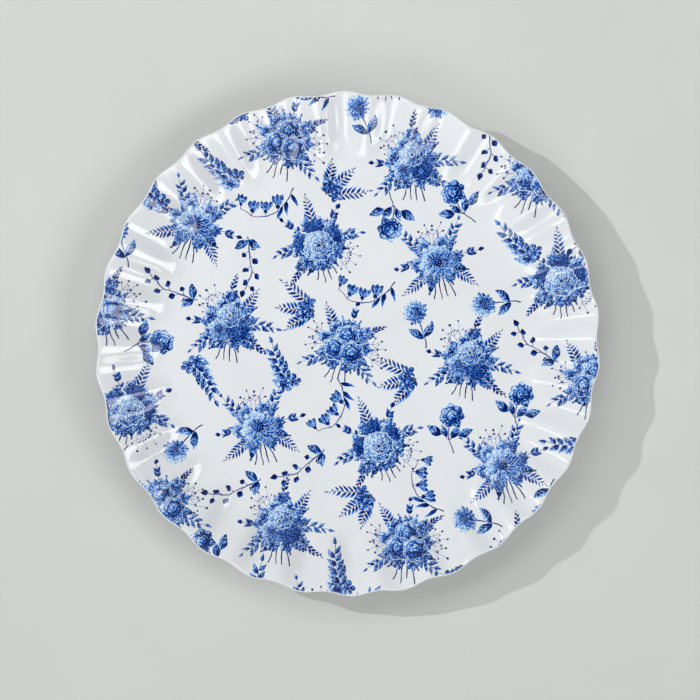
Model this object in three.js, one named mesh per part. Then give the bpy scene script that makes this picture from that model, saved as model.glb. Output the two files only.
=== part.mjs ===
// A round china dinner plate with a fluted, scalloped rim, standing on a narrow foot ring.
// Units are millimetres. +Z is up, the table is at z = 0 and the plate's axis is the Z axis.
import * as THREE from 'three';

// ---- driving dimensions ----
const PLATE_DIAMETER = 270;          // across two opposite scallop crests
const PLATE_HEIGHT = 24;             // table to the highest point of the lip
const WELL_DIAMETER = 188;           // flat middle, out to where the rim starts to rise
const WALL_WELL = 3.4;               // thickness of the flat middle
const WALL_LIP = 1.9;                // thickness where the rounded lip starts
const FOOT_HEIGHT = 3;
const FOOT_OUTER_DIAMETER = 162.8;   // on the table
const FOOT_LAND_WIDTH = 3.8;         // width of the ring on the table, with its two small chamfers
const FOOT_ROOT_WIDTH = 6.4;         // width of the ring where it meets the underside
const FOOT_CHAMFER = 0.5;

const SCALLOPS = 30;
const SCALLOP_AMPLITUDE = 1.1;       // radial wave of the rim
const FLUTE_AMPLITUDE = 1.55;        // vertical wave of the rim
const FLUTE_REACH = 0.5;             // the flutes are full from this fraction of the rim outwards
const CREST_ANGLE = THREE.MathUtils.degToRad(6);   // one crest, anticlockwise from +X

// ---- mesh fineness ----
const STEPS_PER_SCALLOP = 6;
const RIM_STEPS = 6;                 // rings of facets between the well and the lip
const LIP_ANGLES = [90, 40, 0, -35]; // degrees round the lip, from its top to its outside and under
const FOOT_SEGMENTS = 96;

// ---- derived dimensions ----
const wellRadius = WELL_DIAMETER / 2;
const wellMiddleHeight = FOOT_HEIGHT + WALL_WELL / 2;
const lipRadius = WALL_LIP / 2;
const meanLipRadius = PLATE_DIAMETER / 2 - SCALLOP_AMPLITUDE;
const fullFluteRadius = THREE.MathUtils.lerp(wellRadius, meanLipRadius, FLUTE_REACH);
const lipMiddle = new THREE.Vector2(
  meanLipRadius - lipRadius,
  PLATE_HEIGHT - lipRadius - FLUTE_AMPLITUDE,
);

// ---- shape of the rim ----

// Mid-wall height of the rim: it leaves the well level, steepens, and eases again towards the lip.
function middleHeight(along) {
  const rise = lipMiddle.y - wellMiddleHeight;
  return wellMiddleHeight + rise * (2 * along ** 2 - along ** 3);
}

// Slope of the mid-wall line, as an angle from level.
function middleSlope(along) {
  const rise = lipMiddle.y - wellMiddleHeight;
  const run = lipMiddle.x - wellRadius;
  return Math.atan2(rise * (4 * along - 3 * along ** 2), run);
}

// A point on the top (side = 1) or underside (side = -1) of the rim, at a fraction along it.
function rimPoint(along, side) {
  const slope = middleSlope(along);
  const halfWall = THREE.MathUtils.lerp(WALL_WELL, WALL_LIP, along) / 2;
  return new THREE.Vector2(
    THREE.MathUtils.lerp(wellRadius, lipMiddle.x, along) - side * halfWall * Math.sin(slope),
    middleHeight(along) + side * halfWall * Math.cos(slope),
  );
}

function lipPoint(degrees) {
  const angle = THREE.MathUtils.degToRad(degrees);
  return new THREE.Vector2(
    lipMiddle.x + lipRadius * Math.cos(angle),
    lipMiddle.y + lipRadius * Math.sin(angle),
  );
}

// Half section of the body, from the axis on the underside, round the lip, to the axis on top.
function bodySection() {
  const section = [new THREE.Vector2(0, FOOT_HEIGHT)];
  for (let step = 0; step <= RIM_STEPS; step += 1) {
    section.push(rimPoint(step / RIM_STEPS, -1));
  }
  for (const degrees of LIP_ANGLES.toReversed()) {
    section.push(lipPoint(degrees));
  }
  for (let step = RIM_STEPS; step >= 0; step -= 1) {
    section.push(rimPoint(step / RIM_STEPS, 1));
  }
  section.push(new THREE.Vector2(0, FOOT_HEIGHT + WALL_WELL));
  return section;
}

// ---- flutes and scallops ----

// The wave that the flutes follow round the plate: above zero on a crest, below it in a valley.
function wave(angle) {
  return Math.cos(SCALLOPS * (angle - CREST_ANGLE));
}

// How far the flutes have grown at a radius: none in the well, full on the outer rim.
function fluteGrowth(radius) {
  return THREE.MathUtils.smoothstep(radius, wellRadius, fullFluteRadius);
}

// A crest pushes the rim outwards and down, and a valley draws it inwards and up.
function fluteRim(geometry) {
  const points = geometry.attributes.position;
  for (let i = 0; i < points.count; i += 1) {
    const x = points.getX(i);
    const y = points.getY(i);
    const radius = Math.hypot(x, y);
    const growth = fluteGrowth(radius);
    if (growth > 0) {
      const push = growth * wave(Math.atan2(y, x));
      const stretch = 1 + (SCALLOP_AMPLITUDE * push) / radius;
      points.setXYZ(i, x * stretch, y * stretch, points.getZ(i) - FLUTE_AMPLITUDE * push);
    }
  }
  geometry.computeVertexNormals();
}

// ---- parts ----

// A lathe shape turned about Z, from a half section listed anticlockwise.
function turned(section, segments) {
  const geometry = new THREE.LatheGeometry(section, segments);
  geometry.rotateX(Math.PI / 2);
  return geometry;
}

function makePlateBody() {
  const geometry = turned(bodySection(), SCALLOPS * STEPS_PER_SCALLOP);
  fluteRim(geometry);
  const glaze = new THREE.MeshStandardMaterial({ color: 0xe4e8ec, roughness: 0.12, metalness: 0 });
  const mesh = new THREE.Mesh(geometry, glaze);
  mesh.name = 'plate_body';
  return mesh;
}

// The ring under the well: its land is ground flat, and its root is wider than its land.
function makeFootRing() {
  const outer = FOOT_OUTER_DIAMETER / 2;
  const inner = outer - FOOT_LAND_WIDTH;
  const flare = (FOOT_ROOT_WIDTH - FOOT_LAND_WIDTH) / 2;
  const section = [
    new THREE.Vector2(inner + FOOT_CHAMFER, 0),
    new THREE.Vector2(outer - FOOT_CHAMFER, 0),
    new THREE.Vector2(outer, FOOT_CHAMFER),
    new THREE.Vector2(outer + flare, FOOT_HEIGHT),
    new THREE.Vector2(inner - flare, FOOT_HEIGHT),
    new THREE.Vector2(inner, FOOT_CHAMFER),
    new THREE.Vector2(inner + FOOT_CHAMFER, 0),
  ];
  const bisque = new THREE.MeshStandardMaterial({ color: 0xe9e4da, roughness: 0.8, metalness: 0 });
  const mesh = new THREE.Mesh(turned(section, FOOT_SEGMENTS), bisque);
  mesh.name = 'foot_ring';
  return mesh;
}

const plate = new THREE.Group();
plate.name = 'dinner_plate';
plate.add(makePlateBody(), makeFootRing());

export default plate;
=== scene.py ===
"""A china dinner plate with a fluted, scalloped rim and blue flower sprays printed all over it.

The glazed body and the foot ring are fine meshes in the place of the CAD solids. The print is a set of
flat drawings, made here in millimetres from petals, leaves and stems, which repeat over the plate, are
cut off at the lip and are carried on the glaze as thin inked shapes.
"""

import cmath
import math
import random

import bpy
import numpy as np
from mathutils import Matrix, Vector
from mathutils.geometry import delaunay_2d_cdt


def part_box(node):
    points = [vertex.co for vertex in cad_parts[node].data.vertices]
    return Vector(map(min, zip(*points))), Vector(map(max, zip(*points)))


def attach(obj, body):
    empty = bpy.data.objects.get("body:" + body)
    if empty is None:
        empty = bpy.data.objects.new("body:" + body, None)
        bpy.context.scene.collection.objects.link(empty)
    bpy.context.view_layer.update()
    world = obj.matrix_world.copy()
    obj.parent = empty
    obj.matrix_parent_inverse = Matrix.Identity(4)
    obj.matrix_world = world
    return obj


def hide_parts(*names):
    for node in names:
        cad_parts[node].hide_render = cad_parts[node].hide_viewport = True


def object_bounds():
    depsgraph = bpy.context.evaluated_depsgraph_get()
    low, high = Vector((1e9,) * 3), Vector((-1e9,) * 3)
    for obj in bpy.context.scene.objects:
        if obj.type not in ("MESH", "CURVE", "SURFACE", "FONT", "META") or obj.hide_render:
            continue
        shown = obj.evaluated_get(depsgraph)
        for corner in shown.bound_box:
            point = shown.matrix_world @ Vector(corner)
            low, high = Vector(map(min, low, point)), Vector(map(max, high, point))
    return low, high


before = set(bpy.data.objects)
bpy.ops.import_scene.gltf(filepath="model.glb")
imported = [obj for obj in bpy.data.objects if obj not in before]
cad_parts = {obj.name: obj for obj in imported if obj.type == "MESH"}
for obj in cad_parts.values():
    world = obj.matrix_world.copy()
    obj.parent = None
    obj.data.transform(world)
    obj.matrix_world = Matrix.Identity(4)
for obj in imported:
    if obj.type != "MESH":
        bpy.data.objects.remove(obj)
cad_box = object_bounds()

# ---- driving dimensions, in metres; the overall sizes come from the frame ----
MM = 0.001
FIT = 0.1 * MM                         # the fine meshes stay this far inside the CAD box
CREST_RADIUS = cad_box[1].y - FIT
PLATE_HEIGHT = cad_box[1].z - FIT
FOOT_LOW, FOOT_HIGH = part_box("foot_ring")
FOOT_HEIGHT = FOOT_HIGH.z
FOOT_ROOT_RADIUS = FOOT_HIGH.y
FOOT_ROOT_WIDTH = 6.4 * MM
FOOT_LAND_WIDTH = 3.8 * MM
FOOT_CHAMFER = 0.5 * MM
FOOT_BARE = 0.9 * MM                   # the glaze stops this far above the table
WELL_RADIUS = 94 * MM
WALL_WELL = 3.4 * MM
WALL_LIP = 1.9 * MM
SCALLOPS = 30
SCALLOP_AMPLITUDE = 1.1 * MM
FLUTE_AMPLITUDE = 1.55 * MM
FLUTE_REACH = 0.5                      # the flutes are full from this fraction of the rim outwards
CREST_ANGLE = math.radians(6)

TURN = 2 * math.pi
LIP_RADIUS = WALL_LIP / 2
MEAN_LIP_RADIUS = CREST_RADIUS - SCALLOP_AMPLITUDE
LIP_MIDDLE = (MEAN_LIP_RADIUS - LIP_RADIUS, PLATE_HEIGHT - LIP_RADIUS - FLUTE_AMPLITUDE)
WELL_TOP = FOOT_HEIGHT + WALL_WELL


# ---- shape of the plate ----

def rim_slope(along):
    """Slope of the middle of the rim's wall, from level, at a fraction of the way from well to lip."""
    rise = LIP_MIDDLE[1] - (FOOT_HEIGHT + WALL_WELL / 2)
    return math.atan2(rise * (4 * along - 3 * along ** 2), LIP_MIDDLE[0] - WELL_RADIUS)


def rim_point(along, side):
    """A point (radius, height) on the top (side = 1) or underside (side = -1) of the rim, before fluting."""
    middle = FOOT_HEIGHT + WALL_WELL / 2
    height = middle + (LIP_MIDDLE[1] - middle) * (2 * along ** 2 - along ** 3)
    half = (WALL_WELL + (WALL_LIP - WALL_WELL) * along) / 2
    radius = WELL_RADIUS + (LIP_MIDDLE[0] - WELL_RADIUS) * along
    slope = rim_slope(along)
    return radius - side * half * math.sin(slope), height + side * half * math.cos(slope)


def lip_point(angle):
    return LIP_MIDDLE[0] + LIP_RADIUS * math.cos(angle), LIP_MIDDLE[1] + LIP_RADIUS * math.sin(angle)


def wave(angle):
    """The wave of the flutes round the plate: above zero on a crest, below it in a valley."""
    return np.cos(SCALLOPS * (angle - CREST_ANGLE))


def flute_growth(radius):
    t = np.clip((radius - WELL_RADIUS) / (FLUTE_REACH * (MEAN_LIP_RADIUS - WELL_RADIUS)), 0, 1)
    return t * t * (3 - 2 * t)


def fluted(radius, height, angle):
    """Moves points of the plain turned shape to the fluted one: a crest goes outwards and down."""
    push = flute_growth(radius) * wave(angle)
    out = radius + SCALLOP_AMPLITUDE * push
    return np.stack([out * np.cos(angle), out * np.sin(angle), height - FLUTE_AMPLITUDE * push], -1)


TOP_SECTION = np.array(
    [rim_point(t, 1) for t in np.linspace(0, 1, 160)]
    + [lip_point(a) for a in np.linspace(math.pi / 2 + rim_slope(1), math.radians(45), 12)[1:]])


def plain_radius(x, y):
    """The radius that a point on the fluted top had before fluting."""
    radius = np.hypot(x, y)
    ripple = wave(np.arctan2(y, x))
    plain = radius
    for _ in range(4):
        plain = radius - SCALLOP_AMPLITUDE * flute_growth(plain) * ripple
    return plain


def top_height(x, y):
    plain = plain_radius(x, y)
    height = np.interp(plain, TOP_SECTION[:, 0], TOP_SECTION[:, 1])
    return height - FLUTE_AMPLITUDE * flute_growth(plain) * wave(np.arctan2(y, x))


def top_normal(x, y):
    step = 0.15 * MM
    slope_x = (top_height(x + step, y) - top_height(x - step, y)) / (2 * step)
    slope_y = (top_height(x, y + step) - top_height(x, y - step)) / (2 * step)
    normal = np.stack([-slope_x, -slope_y, np.ones_like(slope_x)], -1)
    return normal / np.linalg.norm(normal, axis=-1, keepdims=True)


# ---- meshes of the body and the foot ----

STEPS_ROUND = SCALLOPS * 24
RIM_STEPS = 34
LIP_STEPS = 10


def add_piece(name, points, faces, material):
    mesh = bpy.data.meshes.new(name)
    mesh.from_pydata([tuple(p) for p in points], [], faces)
    mesh.validate()
    mesh.shade_smooth()
    mesh.materials.append(material)
    piece = bpy.data.objects.new(name, mesh)
    bpy.context.collection.objects.link(piece)
    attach(piece, "root")
    return piece


def ring_points(radius, height, steps):
    angle = np.arange(steps) * TURN / steps
    return fluted(np.full(steps, radius), np.full(steps, height), angle)


def band(low, low_steps, high, high_steps):
    """Faces between two rings, the second with as many steps as the first or with half as many."""
    faces = []
    ratio = low_steps // high_steps
    for k in range(high_steps):
        outer = [low + (ratio * k + j) % low_steps for j in range(ratio + 1)]
        faces.append((*outer, high + (k + 1) % high_steps, high + k))
    return faces


def fillet(corner, start, end, steps=4):
    """Points round a corner from start to end, as a curve that is tangent to both sides."""
    turns = [k / steps for k in range(steps + 1)]
    return [tuple((1 - t) ** 2 * a + 2 * t * (1 - t) * b + t ** 2 * c for a, b, c in zip(start, corner, end))
            for t in turns]


def underside_section():
    """The body's underside from near the axis to the well's edge, with the glazed sides of the foot."""
    outer = FOOT_ROOT_RADIUS
    inner = outer - FOOT_ROOT_WIDTH
    taper = (FOOT_ROOT_WIDTH - FOOT_LAND_WIDTH) / 2 * (1 - FOOT_BARE / FOOT_HEIGHT)
    soft = 0.9 * MM
    bead = 0.25 * MM
    low = FOOT_BARE
    return [
        *fillet((inner, FOOT_HEIGHT), (inner - soft, FOOT_HEIGHT),
                (inner + taper * 0.45, FOOT_HEIGHT - soft)),
        *fillet((inner + taper, low), (inner + taper * 0.9, low + bead), (inner + taper + bead, low), 3),
        *fillet((outer - taper, low), (outer - taper - bead, low), (outer - taper * 0.9, low + bead), 3),
        *fillet((outer, FOOT_HEIGHT), (outer - taper * 0.45, FOOT_HEIGHT - soft),
                (outer + soft, FOOT_HEIGHT)),
    ]


def disc_rings(radius, steps):
    """Radii and step counts for a flat disc, from its edge inwards, halving the steps as it narrows."""
    rings = []
    while steps > 12 and steps % 2 == 0:
        steps //= 2
        radius *= 0.72
        rings.append((radius, steps))
    return rings


def make_body(material):
    slope = rim_slope(1)
    section = underside_section()
    section += [rim_point(k / RIM_STEPS, -1) for k in range(RIM_STEPS)]
    angles = np.linspace(slope - math.pi / 2, slope + math.pi / 2, LIP_STEPS + 1)
    section += [lip_point(a) for a in angles]
    section += [rim_point(k / RIM_STEPS, 1) for k in reversed(range(RIM_STEPS))]
    rings = [(radius, height, STEPS_ROUND) for radius, height in section]
    below = [(r, FOOT_HEIGHT, n) for r, n in disc_rings(section[0][0], STEPS_ROUND)]
    above = [(r, WELL_TOP, n) for r, n in disc_rings(section[-1][0], STEPS_ROUND)]
    points, starts = [], []
    for radius, height, steps in below[::-1] + rings + above:
        starts.append(len(points))
        points.extend(ring_points(radius, height, steps))
    faces = []
    ordered = below[::-1] + rings + above
    for k in range(len(ordered) - 1):
        n, m = ordered[k][2], ordered[k + 1][2]
        if n >= m:
            faces += band(starts[k], n, starts[k + 1], m)
        else:
            faces += [f[::-1] for f in band(starts[k + 1], m, starts[k], n)]
    first, last = ordered[0][2], ordered[-1][2]
    faces.append(tuple(range(first))[::-1])
    faces.append(tuple(starts[-1] + k for k in range(last)))
    body = add_piece("glazed_body", points, faces, material)
    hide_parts("plate_body")


def make_foot(material):
    inset = 0.16 * MM
    outer = FOOT_ROOT_RADIUS - (FOOT_ROOT_WIDTH - FOOT_LAND_WIDTH) / 2 - inset
    inner = outer - FOOT_LAND_WIDTH + 2 * inset
    top = FOOT_BARE + 0.2 * MM
    chamfer = FOOT_CHAMFER
    section = [
        *fillet((inner, 0), (inner, chamfer), (inner + chamfer, 0)),
        ((inner + outer) / 2, 0),
        *fillet((outer, 0), (outer - chamfer, 0), (outer, chamfer)),
        (outer, top),
        (inner, top),
    ]
    steps = STEPS_ROUND // 2
    points = [p for radius, height in section for p in ring_points(radius, height, steps)]
    faces = []
    for k in range(len(section)):
        faces += band(k * steps, steps, (k + 1) % len(section) * steps, steps)
    foot = add_piece("unglazed_foot_ring", points, faces, material)
    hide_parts("foot_ring")


# ---- drawing pens: every length is in millimetres, every angle in degrees ----

SPECK = 0.01                           # square mm: a smaller shape isn't drawn


def polar(length, degrees):
    return cmath.rect(length, math.radians(degrees))


def area(outline):
    """Signed area of an outline: above zero where it runs anticlockwise."""
    return sum((a.conjugate() * b).imag for a, b in zip(outline, outline[1:] + outline[:1])) / 2


def wander(p):
    """A slight wobble of the hand, the same wherever two shapes meet."""
    x, y = p.real, p.imag
    return p + 0.26 * complex(math.sin(0.7 * x + 0.5 * y) + 0.25 * math.sin(1.7 * y - 0.9 * x),
                              math.sin(0.6 * y - 0.8 * x + 2) + 0.25 * math.sin(1.5 * x + 1.1 * y))


class Sprig:
    """A flat drawing in millimetres: shapes painted one over another, each with its own ink."""

    def __init__(self, seed):
        self.shapes = []
        self.chance = random.Random(seed)

    def vary(self, value, share):
        return value * (1 + self.chance.uniform(-share, share))

    def lay(self, outline, ink, tip_ink=None, root=0j, heading=0.0, length=1.0, hatch=0.0, shade=1.0):
        """Paints one outline. ink runs from root to tip along the heading; None leaves bare glaze.

        hatch is the strength of its engraved lines, and shade that of its shading away from the light.
        """
        outline = [wander(p) for p in outline]
        if abs(area(outline)) < SPECK:
            return
        if area(outline) < 0:
            outline = outline[::-1]
        axis = polar(1, heading)
        tip_ink = ink if tip_ink is None else tip_ink
        self.shapes.append((outline, ink, tip_ink, root, axis, length, hatch, shade))


# ---- lines ----

def arc(start, heading, length, bend=0.0, steps=8):
    """Points along an arc that turns by bend degrees over its length."""
    line = [start]
    for k in range(steps):
        line.append(line[-1] + polar(length / steps, heading + bend * (k + 0.5) / steps))
    return line


SMOOTH_STEP = 0.9                      # between the points of a smooth line

def smooth(points):
    """A smooth line through a few points."""
    ends = [2 * points[0] - points[1], *points, 2 * points[-1] - points[-2]]
    line = []
    for a, b, c, d in zip(ends, ends[1:], ends[2:], ends[3:]):
        count = max(2, round(abs(c - b) / SMOOTH_STEP))
        for k in range(count):
            t = k / count
            line.append(0.5 * (2 * b + (c - a) * t + (2 * a - 5 * b + 4 * c - d) * t ** 2
                               + (3 * b - a - 3 * c + d) * t ** 3))
    return line + [points[-1]]


def ribbon(line, widths):
    """The outline of a line with a width at each point."""
    left, right = [], []
    last = len(line) - 1
    for k, (point, width) in enumerate(zip(line, widths)):
        along = line[min(k + 1, last)] - line[max(k - 1, 0)]
        side = 1j * along / abs(along) * width / 2
        left.append(point + side)
        right.append(point - side)
    return left + right[::-1]


FLAT_SHADE = 0.3                       # shading of pen lines and of the pale lines round shapes

def stroke(sprig, line, width, tip_width=None, ink=0.85, tip_ink=None):
    """A pen line that thins from width to tip_width."""
    tip_width = width if tip_width is None else tip_width
    if len(line) > 3:
        line = smooth(line)
    last = len(line) - 1
    widths = [width + (tip_width - width) * k / last for k in range(last + 1)]
    span = line[-1] - line[0]
    most = 0.55 + 0.5 * width          # fine lines print paler
    tip_ink = ink if tip_ink is None else tip_ink
    sprig.lay(ribbon(line, widths), min(ink, most), min(tip_ink, most), line[0],
              math.degrees(cmath.phase(span)), abs(span), shade=FLAT_SHADE)


def dot(sprig, centre, radius, ink=0.9, sides=9):
    outline = [centre + complex(radius * math.cos(TURN * k / sides), radius * math.sin(TURN * k / sides))
               for k in range(sides)]
    sprig.lay(outline, ink, ink, centre, 0.0, radius)


# ---- leaves and petals ----

HALO = 0.05                            # ink of the pale line round a shape


def gap(length):
    """Width of the pale line round a shape of some length, so that it stands clear of those under it."""
    return max(0.0, min(0.26, 0.055 * (length - 2.8)))


def blade(sprig, root, heading, length, width, bend=0.0, ink=0.6, tip_ink=None, belly=0.8, edge=0.0,
          edge_ink=0.8, teeth=0, hatch=0.0, steps=None):
    """A pointed leaf shape with an inked edge. belly under 1 puts the widest part nearer its root."""
    steps = steps or max(6, round(length / 0.8))
    line = arc(root, heading, length, bend, steps)
    widths = []
    for k in range(steps + 1):
        u = k / steps
        form = max(math.sin(math.pi * u ** belly), 0.0) ** 0.9
        if teeth:
            form *= 1 - 0.22 * ((u * teeth) % 1.0)
        widths.append(max(width * form, 0.06))
    if edge:
        if gap(length):
            sprig.lay(ribbon(line, [w + 2 * gap(length) for w in widths]), HALO, shade=FLAT_SHADE)
        sprig.lay(ribbon(line, widths), edge_ink, edge_ink, root, heading, length)
        line = line[:-1] + [line[-1] - polar(edge * 1.6, heading + bend)]
        widths = [max(w - 2 * edge, 0.05) for w in widths]
    sprig.lay(ribbon(line, widths), ink, tip_ink, root, heading + bend / 2, length, hatch)
    return line, widths


LEAF_SHADE = 0.22                      # how much darker one half of a leaf is

def leaf(sprig, root, heading, length, width, bend=0.0, ink=0.5, tip_ink=0.3, veins=5, teeth=0, edge=0.2):
    """A leaf with an inked edge, one half in shade, a rib and side veins."""
    if length > 10:
        tip_root = root + polar(length * 0.9, heading + bend / 2)
        blade(sprig, tip_root, heading + bend, length * 0.2, 1.3, ink=0.85)
    line, widths = blade(sprig, root, heading, length, width, bend, ink, tip_ink, 0.8, edge, 0.8, teeth,
                         hatch=0.5, steps=max(8, round(length / (0.5 if teeth else 0.8))))
    last = len(line) - 1
    half = [line[k] for k in range(last + 1)]
    margin = []
    for k in range(last + 1):
        along = line[min(k + 1, last)] - line[max(k - 1, 0)]
        margin.append(line[k] - 1j * along / abs(along) * widths[k] / 2)
    sprig.lay(half + margin[::-1], ink + LEAF_SHADE, tip_ink + LEAF_SHADE, root, heading, length, 0.5)
    for j in range(1, veins + 1):
        k = round(last * (0.1 + 0.72 * j / (veins + 1)))
        along = line[k + 1] - line[k]
        reach = widths[min(k + max(1, last // 7), last)] / 2
        unit = along / abs(along)
        for side in (-1, 1):
            tip = line[k] + unit * (0.75 * reach + 0.35) + side * 1j * unit * reach * 0.86
            vein = [line[k], (line[k] + tip) / 2 + along * 0.12, tip]
            stroke(sprig, [p + unit * 0.32 for p in vein], 0.28, 0.16, 0.1, 0.24)
            stroke(sprig, vein, 0.3, 0.16, 0.9)
    stroke(sprig, line[: last], 0.5, 0.18, 0.98)


PETAL_EDGE_INK = 0.78

def petal(sprig, root, heading, length, spread, ink=0.7, tip_ink=0.35, ruffle=0.05, lobes=3, edge=0.22,
          streaks=3):
    """A fan-shaped petal: narrow at its root, with a ruffled outer edge and dark streaks from the root."""
    steps = max(8, 3 * lobes)
    rim = []
    for k in range(steps + 1):
        across = 2 * k / steps - 1
        reach = length * (1 - 0.3 * abs(across) ** 3) * (1 + ruffle * math.cos(across * lobes * math.pi))
        rim.append((reach, heading + spread / 2 * across))
    side = 0.55 * length
    shoulder = (side, spread / 2 * 0.93)

    def form(shrink):
        points = [root, root + polar(shoulder[0], heading - shoulder[1])]
        points += [root + polar(max(reach - shrink, 0.3), angle) for reach, angle in rim]
        points.append(root + polar(shoulder[0], heading + shoulder[1]))
        if shrink:
            middle = root + polar(length * 0.55, heading)
            points = [p + (middle - p) / max(abs(middle - p), 0.01) * shrink * 0.8 for p in points]
        return points

    if edge:
        if gap(length):
            sprig.lay(form(-gap(length)), HALO, shade=FLAT_SHADE)
        sprig.lay(form(0.0), PETAL_EDGE_INK, PETAL_EDGE_INK, root, heading, length)
    sprig.lay(form(edge), ink + 0.18, tip_ink - 0.12, root, heading, length, 0.6)
    for j in range(streaks):
        angle = heading + spread * 0.62 * ((j + 0.5) / streaks - 0.5) + sprig.chance.uniform(-2, 2)
        reach = length * sprig.chance.uniform(0.55, 0.85)
        stroke(sprig, [root + polar(length * 0.12, angle), root + polar(reach, angle)], 0.3, 0.08, ink + 0.25)


# ---- flowers ----

def blossom(sprig, centre, radius, petals=5, turn=0.0, ink=0.7, tip_ink=0.35, streaks=1, edge=0.16):
    """A small open flower with a dark heart."""
    for k in range(petals):
        petal(sprig, centre, turn + 360 * k / petals, sprig.vary(radius, 0.08), 360 / petals * 0.94, ink,
              tip_ink, 0.06, 1, edge=edge, streaks=streaks)
    dot(sprig, centre, radius * 0.2, 0.9)


PEONY_RINGS = ((1.0, 9, 0.48), (0.74, 8, 0.36), (0.5, 6, 0.5))     # size, petals and ink of each ring

def peony(sprig, centre, radius):
    """A full ruffled flower: rings of overlapping petals and a tuft of pale stamens."""
    for n, (size, petals, ink) in enumerate(PEONY_RINGS):
        for k in range(petals):
            heading = 360 * (k + 0.5 * (n % 2)) / petals + sprig.chance.uniform(-5, 5)
            root = centre + polar(radius * 0.1, heading + 180)
            petal(sprig, root, heading, sprig.vary(radius * size, 0.07), 360 / petals * 1.32,
                  ink + 0.3, ink - 0.12 + sprig.chance.uniform(-0.12, 0.12), 0.05, 3, edge=0.2, streaks=3)
    for k in range(13):
        heading = 360 * k / 13 + sprig.chance.uniform(-8, 8)
        reach = radius * sprig.chance.uniform(0.2, 0.34)
        stroke(sprig, [centre, centre + polar(reach, heading)], 0.16, 0.3, 0.05)
        dot(sprig, centre + polar(reach, heading), 0.3, None, sides=6)
    dot(sprig, centre, radius * 0.1, 0.85)


def aster(sprig, centre, radius, petals=20):
    """A many-petalled flower, in two rings of narrow petals round a dotted heart."""
    heart = 0.3
    for ring, size in ((0, 1.0), (1, 0.74)):
        for k in range(petals):
            heading = 360 * (k + 0.5 * ring) / petals + sprig.chance.uniform(-3, 3)
            reach = polar(1, 90) * polar(sprig.vary(radius * size, 0.1), heading)
            width = TURN * radius * size / petals * 0.98
            blade(sprig, centre + reach * 0.14, math.degrees(cmath.phase(reach)), abs(reach) * 0.88, width,
                  sprig.chance.uniform(-12, 12), 0.66 + 0.1 * ring, 0.2 + 0.12 * ring, 1.5, 0.13, 0.88,
                  hatch=0.5)
    dot(sprig, centre, radius * heart, 0.82, sides=14)
    for k in range(16):
        place = centre + polar(radius * heart * math.sqrt((k + 0.5) / 16), 137.5 * k)
        dot(sprig, place, 0.17 + radius * 0.008, 0.25, sides=5)


def rose(sprig, centre, radius):
    """A round flower of wrapped petals, seen from a little to one side."""
    for k in range(7):
        petal(sprig, centre, 360 * k / 7, sprig.vary(radius, 0.06), 66, 0.78, 0.42, 0.05, 2, streaks=2)
    ring = radius * 0.72
    for k in range(5):
        heart = centre + polar(radius * 0.05 * k, 80 * k)
        wobble = [ring * (1 + 0.07 * math.cos(3 * TURN * j / 18 + k)) for j in range(18)]
        outline = [heart + polar(wobble[j], 20 * j) for j in range(18)]
        sprig.lay(outline, 0.92, 0.92, heart, 0, ring)
        inner = [heart + polar(ring * 0.06, 200 + 70 * k) + (p - heart) * 0.87 for p in outline]
        sprig.lay(inner, 0.62, 0.3 + 0.06 * k, heart - polar(ring, 70 * k), 70 * k, 2 * ring, 0.5)
        ring *= 0.72


def pompom(sprig, centre, radius):
    """A round head of tiny florets, paler on the lit side."""
    florets, ink, tip_ink, light = 46, 0.62, 0.22, 120.0
    outline = [centre + polar(radius * (0.93 + 0.07 * math.cos(5 * a)), math.degrees(a)) for a in
               (TURN * k / 28 for k in range(28))]
    sprig.lay(outline, ink + 0.2, ink, centre - polar(radius, light), light, 2 * radius, 0.4)
    for k in range(florets):
        out = math.sqrt((k + 0.5) / florets)
        place = polar(radius * out, 137.5 * k)
        lit = (place * polar(1, -light)).real / radius
        tone = ink - (ink - tip_ink) * (0.5 + 0.5 * lit)
        size = radius * 1.2 / math.sqrt(florets)
        heading = sprig.chance.uniform(0, 90)
        for j in range(4):
            petal(sprig, centre + place, heading + 90 * j, size, 78, tone + 0.3, tone, 0.0, 1, edge=0.14,
                  streaks=0)
        dot(sprig, centre + place, size * 0.26, 0.95, sides=5)


def bell(sprig, root, heading, length, width):
    """A bell flower with three pointed lobes, hanging along the heading."""
    for side, turn in ((-1, -16), (1, 16), (0, 0)):
        start = root + polar(width * 0.12 * side, heading + 90)
        blade(sprig, start, heading + turn * 0.8, length, width * 0.55, turn * 0.9, 0.72, 0.35, 1.25, 0.16,
              hatch=0.6)
    blade(sprig, root - polar(length * 0.12, heading), heading, length * 0.35, width * 0.5, ink=0.88)


# ---- sprays ----

BUD_INK = 0.92

def bud(sprig, stalk_root, heading, stalk, size, width=0.34):
    """A closed bud on a short stalk."""
    tip = stalk_root + polar(stalk, heading)
    stroke(sprig, [stalk_root, tip], 0.3, 0.22, 0.75)
    blade(sprig, tip - polar(size * 0.15, heading), heading, size, size * width * 2, ink=BUD_INK,
          tip_ink=BUD_INK - 0.15, belly=0.8)


def fern(sprig, root, heading, length, width, bend=0.0, pairs=9, ink=0.8, tip_ink=0.55):
    """A frond: pairs of narrow leaflets that shorten towards the tip."""
    line = arc(root, heading, length, bend, pairs * 2)
    stroke(sprig, line, 0.36, 0.12, 0.85)
    for k in range(1, 2 * pairs):
        u = k / (2 * pairs)
        reach = width / 2 * math.sin(math.pi * min(1.0, 0.25 + 0.75 * u) ** 1.1) ** 0.8 + 0.4
        side = 1 if k % 2 else -1
        along = heading + bend * u
        blade(sprig, line[k], along + side * 58, reach, max(0.5, reach * 0.36), -side * 14, ink, tip_ink,
              0.85)
    blade(sprig, line[-1], heading + bend, length * 0.06 + 0.5, 0.6, ink=ink)


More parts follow.
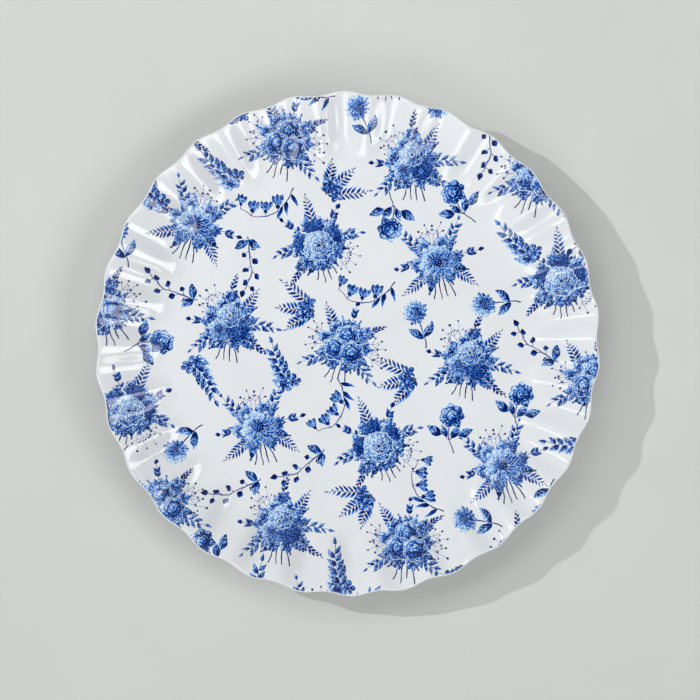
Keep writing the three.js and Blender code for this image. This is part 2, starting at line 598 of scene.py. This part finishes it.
def leaf_spray(sprig, root, heading, length, leaf_length, bend=0.0, pairs=5, width=0.42, ink=0.5,
               tip_ink=0.25):
    """A stem with pairs of leaves that grow smaller towards the tip."""
    line = arc(root, heading, length, bend, pairs * 2 + 2)
    stroke(sprig, line, 0.42, 0.18, 0.88)
    for k in range(1, 2 * pairs + 1):
        u = k / (2 * pairs + 2)
        size = leaf_length * (1.05 - 0.5 * u) * sprig.chance.uniform(0.88, 1.12)
        side = 1 if k % 2 else -1
        along = heading + bend * u + side * (48 + sprig.chance.uniform(-8, 8))
        if size > 3.2:
            leaf(sprig, line[k], along, size, size * width, -side * 18, ink, tip_ink, veins=2, edge=0.16)
        else:
            blade(sprig, line[k], along, size, size * width, -side * 18, ink + 0.15, tip_ink + 0.12, 0.8,
                  0.12)
    blade(sprig, line[-1], heading + bend, leaf_length * 0.55, leaf_length * 0.55 * width, ink=ink + 0.1,
          tip_ink=tip_ink, edge=0.12)


def spike(sprig, root, heading, length, size, bend=0.0, florets=9, ink=0.7, tip_ink=0.32):
    """A tall spike of small flowers, in bud at its tip."""
    line = arc(root, heading, length, bend, florets * 2)
    stroke(sprig, line, 0.4, 0.15, 0.85)
    for k in range(florets * 2):
        u = k / (florets * 2)
        side = 1 if k % 2 else -1
        along = heading + bend * u
        reach = size * (1 - 0.72 * u) * 0.5
        place = line[k] + polar(reach * 0.9, along + side * 90)
        if u < 0.6:
            blossom(sprig, place, reach * 1.05 + 0.25, 4, sprig.chance.uniform(0, 90), ink, tip_ink,
                    streaks=0, edge=0.12)
        else:
            blade(sprig, line[k], along + side * 36, reach * 1.5 + 0.7, reach * 0.8 + 0.35, ink=0.85,
                  tip_ink=0.7)
    blade(sprig, line[-1], heading + bend, size * 0.28 + 0.5, 0.6, ink=0.92)


def berry_spray(sprig, root, heading, length, spread=55.0, twigs=5, size=0.55):
    """A fan of fine stalks, each with a dot at its tip and two beside it."""
    stalk, ink = 0.24, 0.92
    for k in range(twigs):
        angle = heading + spread * (k / max(1, twigs - 1) - 0.5)
        reach = sprig.vary(length, 0.16)
        line = arc(root, angle, reach, (angle - heading) * 0.35, 5)
        stroke(sprig, line, stalk, stalk * 0.6, 0.62, 0.75)
        dot(sprig, line[-1], sprig.vary(size, 0.15), ink, sides=7)
        for side in (-1, 1):
            start = line[3]
            tip = start + polar(length * 0.22, angle + side * 50)
            stroke(sprig, [start, tip], stalk * 0.8, stalk * 0.6, 0.62)
            dot(sprig, tip, sprig.vary(size * 0.85, 0.2), ink, sides=7)


# ---- the drawings ----


def fan(first, last, count):
    """Headings spread evenly from the first to the last."""
    return [first + (last - first) * k / (count - 1) for k in range(count)]


# ---- sprays of a bouquet: each starts at a root and runs along a heading ----

def leafy_spray(s, root, heading):
    leaf_spray(s, root, heading, s.vary(18, 0.1), 6.2, s.chance.uniform(-16, 16), 4, 0.44, 0.62, 0.34)


def frond_spray(s, root, heading):
    fern(s, root, heading, s.vary(19, 0.1), 7.6, s.chance.uniform(-22, 22), 9, 0.8, 0.55)


def flower_spike(s, root, heading):
    spike(s, root, heading, s.vary(19, 0.1), 5.4, s.chance.uniform(-16, 16), 9, 0.76, 0.36)


def dotted_spray(s, root, heading):
    berry_spray(s, root, heading, s.vary(15, 0.1), 44, 4, 0.62)


def bud_spray(s, root, heading):
    """A stalk with one bud at its tip and small leaves in pairs."""
    line = arc(root, heading, s.vary(16, 0.12), s.chance.uniform(-14, 14), 8)
    stroke(s, line, 0.45, 0.25, 0.85)
    bud(s, line[-1], heading, 0.6, 3.2)
    for k in (3, 5, 6):
        for side in (-1, 1):
            blade(s, line[k], heading + side * 42, 3.6, 1.6, -side * 16, 0.8, 0.6, edge=0.12)


# ---- bouquets ----

FAN_LOW, FAN_HIGH = -38, 218           # the sprays fan from one side over the top to the other

LEAVES = 10

def bouquet(seed, sprays, flowers):
    """A round posy: cut stems below, sprays in a fan, leaves under the flowers, and the flowers on top."""
    s = Sprig(seed)
    for foot in fan(254, 286, 4):
        stroke(s, smooth([-5j, polar(12, foot * 0.98 + 5), polar(s.vary(20, 0.08), foot)]), 0.75, 0.55, 0.85)
    for heading, spray in zip(fan(FAN_LOW, FAN_HIGH, len(sprays)), sprays):
        spray(s, polar(6, heading), heading)
    for k, heading in enumerate(fan(FAN_LOW - 24, FAN_HIGH + 24, LEAVES)):
        size = s.vary(12.5 if k % 2 else 10.5, 0.1)
        leaf(s, polar(4, heading), heading, size, size * 0.48, s.chance.uniform(-16, 16), 0.74, 0.52, veins=4,
             teeth=6 * (k % 2))
    for draw, place, radius in flowers:
        draw(s, place, radius)
    return s


def ring(draw, distance, radius, first, last, count):
    """The same flower along an arc round a bouquet's middle."""
    return [(draw, polar(distance, heading), radius) for heading in fan(first, last, count)]


def rose_bouquet():
    sprays = (leafy_spray, dotted_spray, flower_spike, bud_spray, frond_spray, dotted_spray, leafy_spray)
    flowers = [*ring(blossom, 11, 3.6, -70, 250, 9), *ring(rose, 5.2, 6.2, 90, 330, 3)]
    return bouquet(211, sprays, flowers)


def aster_bouquet():
    sprays = (frond_spray, bud_spray, leafy_spray, dotted_spray, leafy_spray, bud_spray, frond_spray)
    flowers = [*ring(aster, 10, 4.2, -60, 240, 6), (aster, 0j, 9.4)]
    return bouquet(233, sprays, flowers)


def peony_bouquet():
    sprays = (dotted_spray, leafy_spray, bud_spray, frond_spray, bud_spray, leafy_spray, flower_spike)
    flowers = [*ring(blossom, 11.5, 3.4, -80, 260, 10), *ring(pompom, 9, 4.4, 20, 160, 3), (peony, -1j, 8.8)]
    return bouquet(227, sprays, flowers)


def posy_bouquet():
    sprays = (flower_spike, leafy_spray, frond_spray, flower_spike, dotted_spray, bud_spray, leafy_spray)
    flowers = [*ring(blossom, 10.5, 3.6, -70, 250, 8), (aster, polar(5.4, 210), 6.4),
               (pompom, polar(5.4, 330), 6.0), (peony, polar(5.0, 90), 6.8)]
    return bouquet(229, sprays, flowers)


# ---- sprigs for the gaps ----

def daisy_sprig():
    s = Sprig(251)
    stroke(s, smooth([-12j, 1 - 5j, 4j]), 0.55, 0.4)
    for side in (-1, 1):
        leaf(s, 0.6 - 7j, 90 - side * 52, 8.5, 3.8, side * 16, 0.72, 0.48, veins=3)
    aster(s, 5j, 5.4, 15)
    return s


def bell_sprig():
    """An arching stem with bells that hang from it."""
    s = Sprig(257)
    line = smooth([-11 - 7j, -6 + 3j, 3 + 8j, 12 + 5j])
    stroke(s, line, 0.55, 0.3)
    last = len(line) - 1
    for k in range(4):
        place = line[round(last * (0.4 + 0.2 * k))]
        stroke(s, [place, place - 1.8j], 0.34, 0.3)
        bell(s, place - 1.8j, 276 - 5 * k, 5.8 - 0.4 * k, 4.6 - 0.3 * k)
    for k in range(3):
        blade(s, line[round(last * 0.1 * (k + 1))], 118 - 26 * k, 7, 1.9, 14, 0.82, 0.66, edge=0.12)
    return s


def fern_sprig():
    s = Sprig(263)
    for heading, reach in ((58, 20), (96, 17), (132, 15)):
        fern(s, -9j, heading, reach, 7.0, 12, 9)
    for heading in fan(30, 150, 3):
        blossom(s, -7j + polar(3.2, heading), 3.0, 5, heading, 0.78, 0.38)
    return s


def bud_sprig():
    """A twig with buds on both sides by turns."""
    s = Sprig(269)
    line = smooth([-11 - 3j, -3 + 1j, 5 + 4j, 12 + 3j])
    stroke(s, line, 0.55, 0.34)
    last = len(line) - 1
    for k in range(1, 8):
        heading = 18 + (48 if k % 2 else -48)
        bud(s, line[round(last * k / 8)], heading, 2.2, 3.0, width=0.42)
    bud(s, line[-1], 0, 1.0, 3.4)
    for side in (-1, 1):
        leaf(s, line[2], 20 + side * 56, 7, 3.4, side * 12, 0.72, 0.48, veins=3)
    return s


def rose_sprig():
    s = Sprig(271)
    stroke(s, smooth([2 - 12j, -0.6 - 5j, 3j]), 0.55, 0.42)
    for side in (-1, 1):
        leafy = arc(-0.4 - 6j, 90 - side * 62, 4, 0, 3)
        stroke(s, leafy, 0.4, 0.3)
        leaf(s, leafy[-1], 90 - side * 70, 7.5, 3.8, side * 14, 0.72, 0.48, veins=3)
        leaf(s, leafy[1], 90 - side * 28, 6.5, 3.2, side * 10, 0.72, 0.48, veins=2)
    rose(s, 4.5j, 5.4)
    return s


def leaf_sprig():
    s = Sprig(277)
    leaf_spray(s, -9 - 8j, 46, 22, 7.0, -14, 5, 0.46, 0.62, 0.34)
    for place in (-8 - 5j, -5.5 - 8.5j):
        blossom(s, place, 3.2, 5, 20, 0.78, 0.38)
    return s


# ---- where they go: a half-drop repeat with its middle on the plate's middle ----

BOUQUETS = (rose_bouquet, aster_bouquet, peony_bouquet, posy_bouquet)
SPRIGS = (daisy_sprig, bell_sprig, leaf_sprig, rose_sprig, fern_sprig, bud_sprig)
COLUMN = 60                            # between two columns of bouquets
DROP = 56                              # between two bouquets of a column; odd columns are half a drop higher
LAYOUT_TURN = 15                       # the whole repeat is turned by this much on the plate
LOOSE = 2.2                            # the most that a drawing is moved off its place, each way
TILT = 24                              # the most that a bouquet leans to one side
SPRIG_SCALE = 1.2


def layout():
    """The spots of each drawing: a list of (place, spin) under its function. spin turns and scales it."""
    chance = random.Random(31)
    spots = {draw: [] for draw in BOUQUETS + SPRIGS}

    def put(draw, place, spin):
        shift = complex(chance.uniform(-LOOSE, LOOSE), chance.uniform(-LOOSE, LOOSE))
        spots[draw].append(((place + shift) * polar(1, LAYOUT_TURN), spin))

    for column in range(-3, 4):
        for row in range(-3, 4):
            node = complex(COLUMN * column, DROP * (row + column % 2 / 2))
            put(BOUQUETS[(2 * row + column) % 4], node, polar(1, chance.uniform(-TILT, TILT)))
            gaps = (node + COLUMN * 2 / 3, node + complex(COLUMN / 3, DROP / 2))
            for k, gap_place in enumerate(gaps):
                spin = polar(SPRIG_SCALE, chance.uniform(0, 360))
                put(SPRIGS[(3 * row + 2 * column + k) % 6], gap_place, spin)
    return spots


# ---- from drawing to printed pieces ----

MESH_STEP = 1.4                        # mm, largest triangle inside a shape, so that it can follow the rim
PRINT_LIFT = 0.045 * MM                # the first drawing's height over the glaze
LIFT_STEP = 0.004 * MM                 # added for each further drawing, so that no two meet at one height
LIT_SIDE = polar(1, 128)               # each shape is paler on this side and darker on the other
SIDE_SHADE = 0.34
PRINT_EDGE = 0.75 * MM                 # white edge of the lip that the print doesn't reach


def flatten(sprig):
    """Cuts a sprig's overlapping shapes into triangles that don't overlap, each with its top shape's ink.

    Returns points (mm), triangles, ink for each corner, and for each corner its place in its shape
    (along, across) in mm with the strength of the shape's hatching.
    """
    points, outlines = [], []
    for outline, *_ in sprig.shapes:
        outlines.append(list(range(len(points), len(points) + len(outline))))
        points += [Vector((p.real, p.imag)) for p in outline]
    corner = np.array([tuple(p) for p in points])
    low, high = corner.min(0), corner.max(0)
    for row, y in enumerate(np.arange(low[1], high[1], MESH_STEP * 0.87)):
        start = low[0] + MESH_STEP / 2 * (row % 2)
        points += [Vector((x, y)) for x in np.arange(start, high[0], MESH_STEP)]
    flat, _, faces, _, _, owners = delaunay_2d_cdt(points, [], outlines, 1, 1e-4, True)
    top = np.array([max(owner, default=-1) for owner in owners])
    bare = np.array([shape[1] is None for shape in sprig.shapes] + [True])
    triangles = np.array([face for face in faces if len(face) == 3])
    keep = ~bare[top]
    triangles, top = triangles[keep], top[keep]
    used, triangles = np.unique(triangles, return_inverse=True)
    triangles = triangles.reshape(-1, 3)
    flat = np.array([tuple(p) for p in flat])[used]
    place = (flat[:, 0] + 1j * flat[:, 1])[triangles]
    fields = [[shape[k] if shape[1] is not None else 0 for shape in sprig.shapes] for k in range(1, 8)]
    ink, tip_ink, root, axis, length, hatch, shade = (np.array(field)[top][:, None] for field in fields)
    local = (place - root) * np.conj(axis)
    share = np.clip(local.real / length, 0, 1)
    towards_light = [[(p * LIT_SIDE.conjugate()).real for p in shape[0]] for shape in sprig.shapes]
    low, high = (np.array([limit(side) for side in towards_light])[top][:, None] for limit in (min, max))
    lit = 2 * ((place * LIT_SIDE.conjugate()).real - low) / (high - low) - 1
    tone = ink + (tip_ink - ink) * share - SIDE_SHADE * shade * lit
    weave = np.stack([local.real, local.imag, np.broadcast_to(hatch, local.shape)], -1)
    return flat, triangles, tone, weave


def clip_at_lip(flat, triangles, tone, weave):
    """Cuts off what lies past the lip's white edge."""
    limit = MEAN_LIP_RADIUS - PRINT_EDGE
    inside = limit - plain_radius(flat[:, 0] * MM, flat[:, 1] * MM)
    within = inside[triangles] > 0
    whole = within.all(1)
    parts = [(triangles[whole], tone[whole], weave[whole])]
    points = list(map(tuple, flat))
    cuts = {}
    new_triangles, new_tone, new_weave = [], [], []
    for index in np.flatnonzero(within.any(1) & ~whole):
        ring = []
        for k in range(3):
            a, b = triangles[index][k], triangles[index][(k + 1) % 3]
            here = (tone[index][k], weave[index][k])
            after = (tone[index][(k + 1) % 3], weave[index][(k + 1) % 3])
            if inside[a] > 0:
                ring.append((a, *here))
            if (inside[a] > 0) != (inside[b] > 0):
                share = inside[a] / (inside[a] - inside[b])
                key = (min(a, b), max(a, b))
                if key not in cuts:
                    cuts[key] = len(points)
                    points.append(tuple(flat[a] + (flat[b] - flat[a]) * share))
                ring.append((cuts[key], *(p + (q - p) * share for p, q in zip(here, after))))
        for k in range(1, len(ring) - 1):
            fan = (ring[0], ring[k], ring[k + 1])
            new_triangles.append([corner[0] for corner in fan])
            new_tone.append([corner[1] for corner in fan])
            new_weave.append([corner[2] for corner in fan])
    if new_triangles:
        parts.append((np.array(new_triangles), np.array(new_tone), np.array(new_weave)))
    triangles, tone, weave = (np.concatenate([part[k] for part in parts]) for k in range(3))
    used, triangles = np.unique(triangles, return_inverse=True)
    return np.array(points)[used], triangles.reshape(-1, 3), tone, weave


def print_sprig(name, drawing, place, spin, lift, material):
    """Lays one flattened drawing on the plate, turned and scaled, with its middle at a place in mm.

    Returns the number of triangles, or 0 where next to nothing of it would lie on the plate.
    """
    flat, triangles, tone, weave = drawing
    turned = (flat[:, 0] + 1j * flat[:, 1]) * spin + place
    flat = np.stack([turned.real, turned.imag], -1)
    if np.hypot(*flat.T).min() * MM > CREST_RADIUS:
        return 0
    flat, triangles, tone, weave = clip_at_lip(flat, triangles, tone, weave)
    if len(triangles) < 12:
        return 0
    x, y = flat[:, 0] * MM, flat[:, 1] * MM
    normals = top_normal(x, y)
    points = np.stack([x, y, top_height(x, y)], -1) + normals * lift
    mesh = bpy.data.meshes.new(name)
    mesh.from_pydata(points.tolist(), [], triangles.tolist())
    mesh.shade_smooth()
    inks = mesh.attributes.new("ink", "FLOAT", "CORNER")
    inks.data.foreach_set("value", tone.astype(np.float32).ravel())
    weaves = mesh.attributes.new("weave", "FLOAT_VECTOR", "CORNER")
    weaves.data.foreach_set("vector", weave.astype(np.float32).ravel())
    mesh.normals_split_custom_set_from_vertices(normals.tolist())
    mesh.materials.append(material)
    piece = bpy.data.objects.new(name, mesh)
    piece.visible_shadow = False       # it stands for ink inside the glaze, which shades nothing
    bpy.context.collection.objects.link(piece)
    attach(piece, "root")
    return len(triangles)


def make_print(material):
    """Lays every drawing at all of its spots, each drawing a little higher than the one before."""
    for level, (draw, spots) in enumerate(layout().items()):
        drawing = flatten(draw())
        lift = PRINT_LIFT + LIFT_STEP * level
        count = 0
        for place, spin in spots:
            label = f"print_{draw.__name__}_{count + 1:02d}"
            if print_sprig(label, drawing, place, spin, lift, material):
                count += 1


# ---- materials ----

def new_material(name):
    material = bpy.data.materials.new(name)
    material.use_nodes = True
    nodes = material.node_tree.nodes
    return material, nodes, material.node_tree.links, nodes["Principled BSDF"]


def linear(red, green, blue):
    """A colour given as it looks on a screen, 0 to 255, in linear light."""
    values = [c / 255 for c in (red, green, blue)]
    return (*[c / 12.92 if c <= 0.04045 else ((c + 0.055) / 1.055) ** 2.4 for c in values], 1.0)


def add_noise(nodes, links, vector, scale, detail=2.0, roughness=0.5):
    noise = nodes.new("ShaderNodeTexNoise")
    noise.inputs["Scale"].default_value = scale
    noise.inputs["Detail"].default_value = detail
    noise.inputs["Roughness"].default_value = roughness
    links.new(vector, noise.inputs["Vector"])
    return noise.outputs["Fac"]


def add_math(nodes, links, operation, a, b=None):
    node = nodes.new("ShaderNodeMath")
    node.operation = operation
    for value, socket in ((a, node.inputs[0]), (b, node.inputs[1])):
        if value is None:
            continue
        if isinstance(value, (int, float)):
            socket.default_value = value
        else:
            links.new(value, socket)
    return node.outputs[0]


def add_ramp(nodes, links, factor, stops):
    ramp = nodes.new("ShaderNodeValToRGB")
    elements = ramp.color_ramp.elements
    while len(elements) < len(stops):
        elements.new(0.5)
    for element, (position, colour) in zip(elements, stops):
        element.position = position
        element.color = colour
    links.new(factor, ramp.inputs["Fac"])
    return ramp.outputs["Color"]


def add_bump(nodes, links, shader, height, distance):
    bump = nodes.new("ShaderNodeBump")
    bump.inputs["Strength"].default_value = 1.0
    bump.inputs["Distance"].default_value = distance
    links.new(height, bump.inputs["Height"])
    links.new(bump.outputs["Normal"], shader.inputs["Normal"])


def gloss(shader):
    """The clear fired glaze, the same over the white body and over the print."""
    shader.inputs["Roughness"].default_value = 0.16
    shader.inputs["IOR"].default_value = 1.5
    shader.inputs["Coat Weight"].default_value = 0.55
    shader.inputs["Coat Roughness"].default_value = 0.05
    shader.inputs["Coat IOR"].default_value = 1.5


def glaze_material():
    """White china under glaze: faint clouding, a few pin-point specks and a very slight orange peel."""
    material, nodes, links, shader = new_material("china_glaze")
    place = nodes.new("ShaderNodeTexCoord").outputs["Object"]
    cloud = add_noise(nodes, links, place, 26.0, 3.0)
    speck = add_noise(nodes, links, place, 900.0, 1.0)
    speck = add_math(nodes, links, "GREATER_THAN", speck, 0.815)
    tone = add_math(nodes, links, "SUBTRACT", cloud, add_math(nodes, links, "MULTIPLY", speck, 0.5))
    colour = add_ramp(nodes, links, tone, (
        (0.0, linear(205, 208, 210)), (0.3, linear(230, 233, 237)), (0.7, linear(235, 238, 242))))
    links.new(colour, shader.inputs["Base Color"])
    peel = add_math(nodes, links, "ADD", add_noise(nodes, links, place, 420.0, 2.0),
                    add_math(nodes, links, "MULTIPLY", add_noise(nodes, links, place, 60.0, 1.0), 2.0))
    add_bump(nodes, links, shader, peel, 0.02 * MM)
    gloss(shader)
    return material


def print_material():
    """Cobalt ink under the glaze: each shape's own tone, engraved hatching along it, and a watery wash."""
    material, nodes, links, shader = new_material("cobalt_print")
    place = nodes.new("ShaderNodeTexCoord").outputs["Object"]
    ink = nodes.new("ShaderNodeAttribute")
    ink.attribute_name = "ink"
    weave = nodes.new("ShaderNodeAttribute")
    weave.attribute_name = "weave"
    split = nodes.new("ShaderNodeSeparateXYZ")
    links.new(weave.outputs["Vector"], split.inputs[0])
    wobble = add_noise(nodes, links, place, 700.0, 2.0)
    across = add_math(nodes, links, "ADD", split.outputs["Y"],
                      add_math(nodes, links, "MULTIPLY", wobble, 0.6))
    fine = add_math(nodes, links, "SINE", add_math(nodes, links, "MULTIPLY", across, 13.0))
    coarse = add_math(nodes, links, "SINE", add_math(nodes, links, "MULTIPLY", across, 5.2))
    lines = add_math(nodes, links, "ADD", add_math(nodes, links, "MULTIPLY", fine, 0.14),
                     add_math(nodes, links, "MULTIPLY", coarse, 0.2))
    lines = add_math(nodes, links, "MULTIPLY", lines, split.outputs["Z"])
    wash = add_math(nodes, links, "SUBTRACT", add_noise(nodes, links, place, 300.0, 2.0, 0.6), 0.5)
    fleck = add_math(nodes, links, "SUBTRACT", add_noise(nodes, links, place, 950.0, 2.0, 0.6), 0.5)
    grain = add_math(nodes, links, "ADD", add_math(nodes, links, "MULTIPLY", split.outputs["Z"], 2.4), 0.8)
    wash = add_math(nodes, links, "ADD", add_math(nodes, links, "MULTIPLY", wash, 0.7),
                    add_math(nodes, links, "MULTIPLY", fleck, grain))
    tone = add_math(nodes, links, "ADD", ink.outputs["Fac"], add_math(nodes, links, "ADD", lines, wash))
    colour = add_ramp(nodes, links, tone, (
        (0.05, linear(220, 240, 255)), (0.2, linear(156, 204, 255)), (0.42, linear(62, 134, 222)),
        (0.58, linear(22, 86, 188)), (0.74, linear(4, 48, 140)), (0.92, linear(0, 16, 78))))
    links.new(colour, shader.inputs["Base Color"])
    gloss(shader)
    return material


def foot_material():
    """Unglazed biscuit, ground flat: fine grit with greyer rubbed patches."""
    material, nodes, links, shader = new_material("unglazed_biscuit")
    place = nodes.new("ShaderNodeTexCoord").outputs["Object"]
    grit = add_noise(nodes, links, place, 2600.0, 3.0, 0.7)
    rubbed = add_noise(nodes, links, place, 55.0, 3.0, 0.6)
    tone = add_math(nodes, links, "ADD", add_math(nodes, links, "MULTIPLY", grit, 0.5),
                    add_math(nodes, links, "MULTIPLY", rubbed, 0.5))
    colour = add_ramp(nodes, links, tone, (
        (0.25, linear(186, 178, 164)), (0.45, linear(222, 215, 202)), (0.7, linear(236, 231, 221))))
    links.new(colour, shader.inputs["Base Color"])
    shader.inputs["Roughness"].default_value = 0.82
    add_bump(nodes, links, shader, grit, 0.06 * MM)
    return material


def floor_material():
    """A plain pale painted surface."""
    material, nodes, links, shader = new_material("pale_floor")
    place = nodes.new("ShaderNodeTexCoord").outputs["Object"]
    tone = add_noise(nodes, links, place, 9.0, 4.0, 0.6)
    colour = add_ramp(nodes, links, tone, ((0.2, linear(208, 210, 208)), (0.8, linear(214, 216, 213))))
    links.new(colour, shader.inputs["Base Color"])
    shader.inputs["Roughness"].default_value = 0.75
    shader.inputs["Specular IOR Level"].default_value = 0.25
    return material


# ---- stage, lights and camera ----

ROOM_LIGHT = 0.3
KEY_POWER = 62

def make_floor(material):
    half = 3.0
    mesh = bpy.data.meshes.new("floor")
    corners = [(-half, -half, 0), (half, -half, 0), (half, half, 0), (-half, half, 0)]
    mesh.from_pydata(corners, [], [(0, 1, 2, 3)])
    mesh.materials.append(material)
    floor = bpy.data.objects.new("floor", mesh)
    bpy.context.collection.objects.link(floor)


def add_softbox(name, azimuth, elevation, distance, width, height, power, colour=(1, 1, 1)):
    """An area light that looks at the plate. Azimuth is anticlockwise from +X."""
    turn, lift = math.radians(azimuth), math.radians(elevation)
    away = Vector((math.cos(turn) * math.cos(lift), math.sin(turn) * math.cos(lift), math.sin(lift)))
    light = bpy.data.lights.new(name, "AREA")
    light.shape = "RECTANGLE"
    light.size, light.size_y = width, height
    light.energy = power
    light.color = colour
    lamp = bpy.data.objects.new(name, light)
    lamp.location = away * distance
    lamp.rotation_euler = away.to_track_quat("Z", "Y").to_euler()
    bpy.context.collection.objects.link(lamp)
    return lamp


def make_room():
    """Even light from the walls, and a dark ceiling, which is what the flat well reflects."""
    world = bpy.data.worlds.new("soft_room")
    world.use_nodes = True
    nodes, links = world.node_tree.nodes, world.node_tree.links
    split = nodes.new("ShaderNodeSeparateXYZ")
    links.new(nodes.new("ShaderNodeTexCoord").outputs["Generated"], split.inputs[0])
    wall, ceiling = (ROOM_LIGHT, ROOM_LIGHT, ROOM_LIGHT * 0.96, 1), (0.06, 0.06, 0.065, 1)
    colour = add_ramp(nodes, links, split.outputs["Z"], ((0.84, wall), (0.93, ceiling)))
    links.new(colour, nodes["Background"].inputs["Color"])
    bpy.context.scene.world = world
    bpy.context.scene.view_settings.view_transform = "Standard"


def make_lights():
    """A small hard key light, and soft panels whose reflections draw the streaks on the flutes."""
    key = add_softbox("key_left", 157.8, 32.8, 4.0, 0.06, 0.06, KEY_POWER, (0.98, 1, 1.0))
    key.visible_glossy = False
    add_softbox("panel_right", -16, 42, 3.0, 1.85, 1.05, 26)
    add_softbox("panel_near", -106, 42, 3.0, 1.4, 1.05, 13.5)
    add_softbox("panel_corner", -54, 25, 3.0, 1.05, 0.45, 5.9)
    add_softbox("panel_left", 175, 42, 3.0, 0.6, 0.8, 5.3)
    far = add_softbox("fill_far", 104, 66, 0.62, 0.5, 0.3, 0.92)
    far.visible_glossy = False


def make_camera():
    """Straight down, through a long lens. The plate sits a little left of the frame's middle and above it."""
    distance = 1.5
    frame_width = 0.3722
    camera = bpy.data.cameras.new("camera")
    camera.sensor_width = 36
    camera.lens = camera.sensor_width * (distance - PLATE_HEIGHT) / frame_width
    seat = bpy.data.objects.new("camera", camera)
    seat.location = (0.0012, -0.0035, distance)
    seat.rotation_euler = (0, 0, math.radians(-1))
    bpy.context.collection.objects.link(seat)
    bpy.context.scene.camera = seat


# ---- build ----

make_camera()
make_room()
make_lights()
make_floor(floor_material())
make_body(glaze_material())
make_foot(foot_material())
make_print(print_material())
